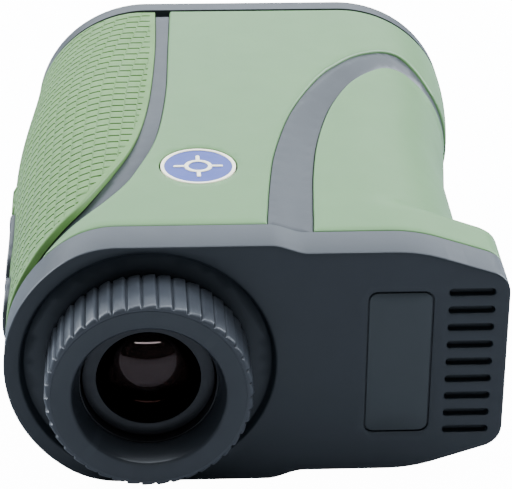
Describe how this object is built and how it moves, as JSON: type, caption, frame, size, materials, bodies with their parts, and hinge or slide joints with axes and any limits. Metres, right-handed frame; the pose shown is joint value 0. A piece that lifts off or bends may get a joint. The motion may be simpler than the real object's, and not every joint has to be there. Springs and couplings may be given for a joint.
{
  "type": "laser rangefinder",
  "caption": "Handheld monocular laser rangefinder with green side panels, textured top grip, ribbed turning eyecup, push buttons and screw-in battery cap.",
  "frame": {"origin": "centre of the bounding box's bottom face; the device lies on its left side, and the eyepiece axis is at x -0.018, z 0.0215", "axes": "+Y is the aiming direction, away from the eye; +Z is the device's right side, up; +X is the device's bottom"},
  "size_m": [0.0834, 0.1138, 0.043],
  "materials": {
    "charcoal_plastic": "fine matte charcoal",
    "green_panel": "soft-touch matte sage green",
    "green_rubber": "moulded textured sage green",
    "label_film": "smooth satin film",
    "blue_enamel": "domed gloss with a cream rim",
    "black_rubber": "matte with moulded ribs",
    "black_metal": "black anodised satin",
    "coated_glass": "polished, purple anti-reflection coating",
    "circuit_board": "green solder mask",
    "chip_black": "matte epoxy",
    "copper_wire": "enamelled copper",
    "capacitor_sleeve": "gloss sleeve",
    "bright_steel": "plated, satin"
  },
  "bodies": {
    "body": {"rear_cover": "charcoal_plastic", "front_bezel": "charcoal_plastic", "right_housing": "charcoal_plastic", "left_housing": "charcoal_plastic", "battery_tube": "charcoal_plastic", "rear_frame": "charcoal_plastic", "front_frame": "charcoal_plastic", "right_side_panel": "green_panel", "left_side_panel": "green_panel", "right_finger_panel": "green_panel", "left_finger_panel": "green_panel", "top_grip": "green_rubber", "label_plate": "label_film", "side_badge": "blue_enamel", "eyepiece_tube": "black_metal", "prism_holder": "black_metal", "objective_tube": "black_metal", "objective_retainer": "black_metal", "laser_tube": "black_metal", "laser_retainer": "black_metal", "objective_lens": "coated_glass", "laser_lens": "coated_glass", "half_prism": "coated_glass", "roof_prism": "coated_glass", "display_module": "coated_glass", "laser_board": "circuit_board", "receiver_board": "circuit_board", "main_board": "circuit_board", "button_board": "circuit_board", "processor_chip": "chip_black", "high_voltage_coil": "copper_wire", "storage_capacitor": "capacitor_sleeve", "laser_diode": "bright_steel", "apd_sensor": "bright_steel", "measure_switch": "bright_steel", "mode_switch": "bright_steel", "battery_cell": "bright_steel", "battery_spring": "bright_steel", "housing_screw_1": "bright_steel", "housing_screw_2": "bright_steel", "housing_screw_3": "bright_steel", "housing_screw_4": "bright_steel", "cover_screw_1": "bright_steel", "cover_screw_2": "bright_steel"},
    "diopter": {"eyecup": "black_rubber", "diopter_ring": "charcoal_plastic"},
    "eyepiece": {"eyepiece_cell": "black_metal", "eye_lens": "coated_glass", "cell_spacer": "black_metal", "field_lens": "coated_glass", "cell_retainer": "black_metal"},
    "measure_key": {"measure_button": "charcoal_plastic"},
    "mode_key": {"mode_button": "charcoal_plastic"},
    "battery_contact": {"contact_plate": "bright_steel"},
    "cap": {"battery_cap": "charcoal_plastic"}
  },
  "joints": [
    {"name": "diopter_turn", "type": "hinge", "parent": "body", "child": "diopter", "pos_m": [-0.018, -0.05, 0.0215], "axis": [0, 1, 0], "range_deg": [-120, 120]},
    {"name": "eyepiece_focus", "type": "slide", "parent": "body", "child": "eyepiece", "axis": [0, 1, 0], "range_m": [-0.0015, 0.0015]},
    {"name": "measure_press", "type": "slide", "parent": "body", "child": "measure_key", "axis": [1, 0, 0], "range_m": [0, 0.0008], "stiffness_N_per_m": 800, "springref_m": -0.0006},
    {"name": "mode_press", "type": "slide", "parent": "body", "child": "mode_key", "axis": [1, 0, 0], "range_m": [0, 0.0008], "stiffness_N_per_m": 800, "springref_m": -0.0006},
    {"name": "cap_advance", "type": "slide", "parent": "body", "child": "battery_contact", "axis": [0, 1, 0], "range_m": [0, 0.002]},
    {"name": "cap_turn", "type": "hinge", "parent": "battery_contact", "child": "cap", "pos_m": [0.026, 0.05, 0.0215], "axis": [0, 1, 0], "range_deg": [0, 720]}
  ],
  "couplings": [
    {"joint": "diopter_turn", "follows": "eyepiece_focus", "rad_per_m": 1396.2},
    {"joint": "cap_turn", "follows": "cap_advance", "rad_per_m": 6283}
  ]
}
